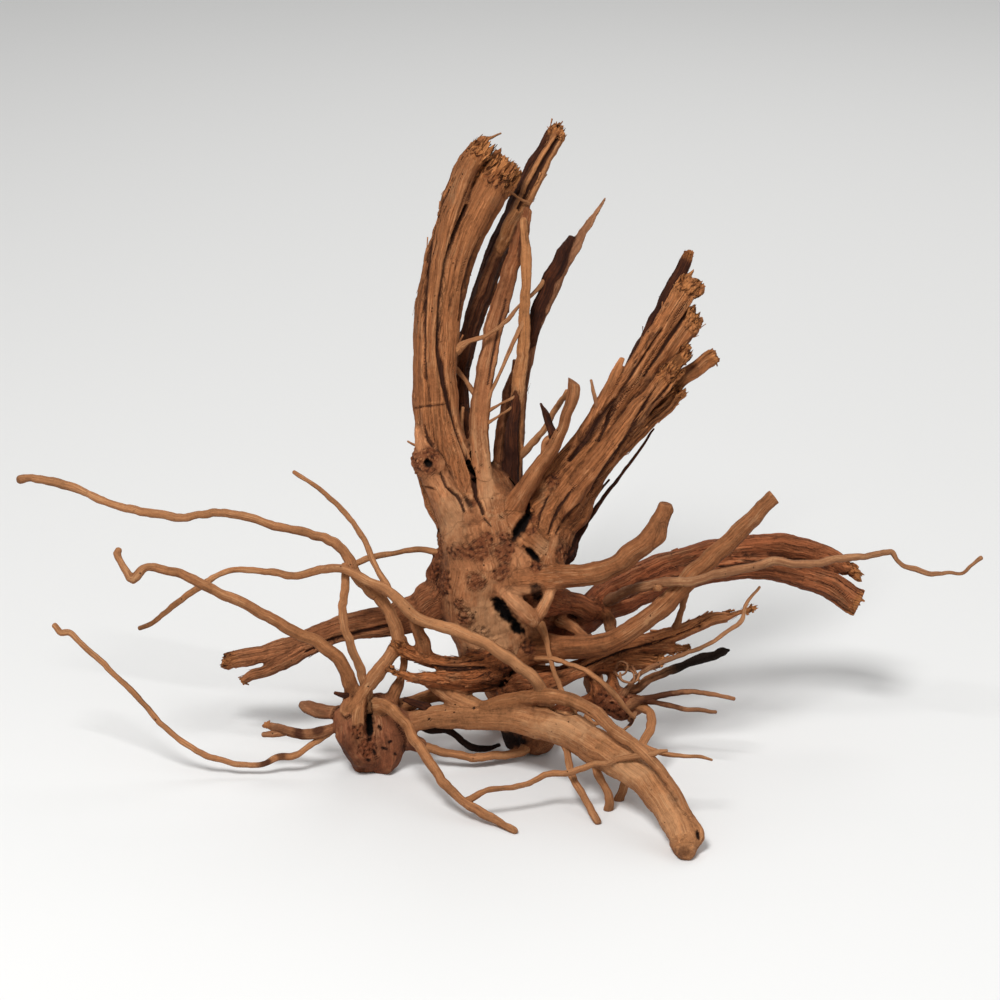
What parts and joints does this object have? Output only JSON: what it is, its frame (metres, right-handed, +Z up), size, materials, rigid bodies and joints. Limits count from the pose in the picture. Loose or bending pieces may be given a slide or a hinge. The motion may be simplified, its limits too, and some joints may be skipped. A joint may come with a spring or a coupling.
{
  "type": "spiderwood root",
  "caption": "Dried spiderwood root for aquascapes and terrariums: a knotted trunk with torn upright shards and long thin roots that spread all round and carry it.",
  "frame": {"origin": "on the surface that the root stands on, under the middle of its box", "axes": "+Z up; +X to the right and -Y towards the viewer, seen from the side that the left burl and the thick lower root reach out to"},
  "size_m": [0.4831, 0.2365, 0.3022],
  "materials": {
    "root_wood": "dry, bare and matt, with an open grain that follows each root"
  },
  "bodies": {
    "root": {"spiderwood_root": "root_wood"}
  },
  "joints": []
}
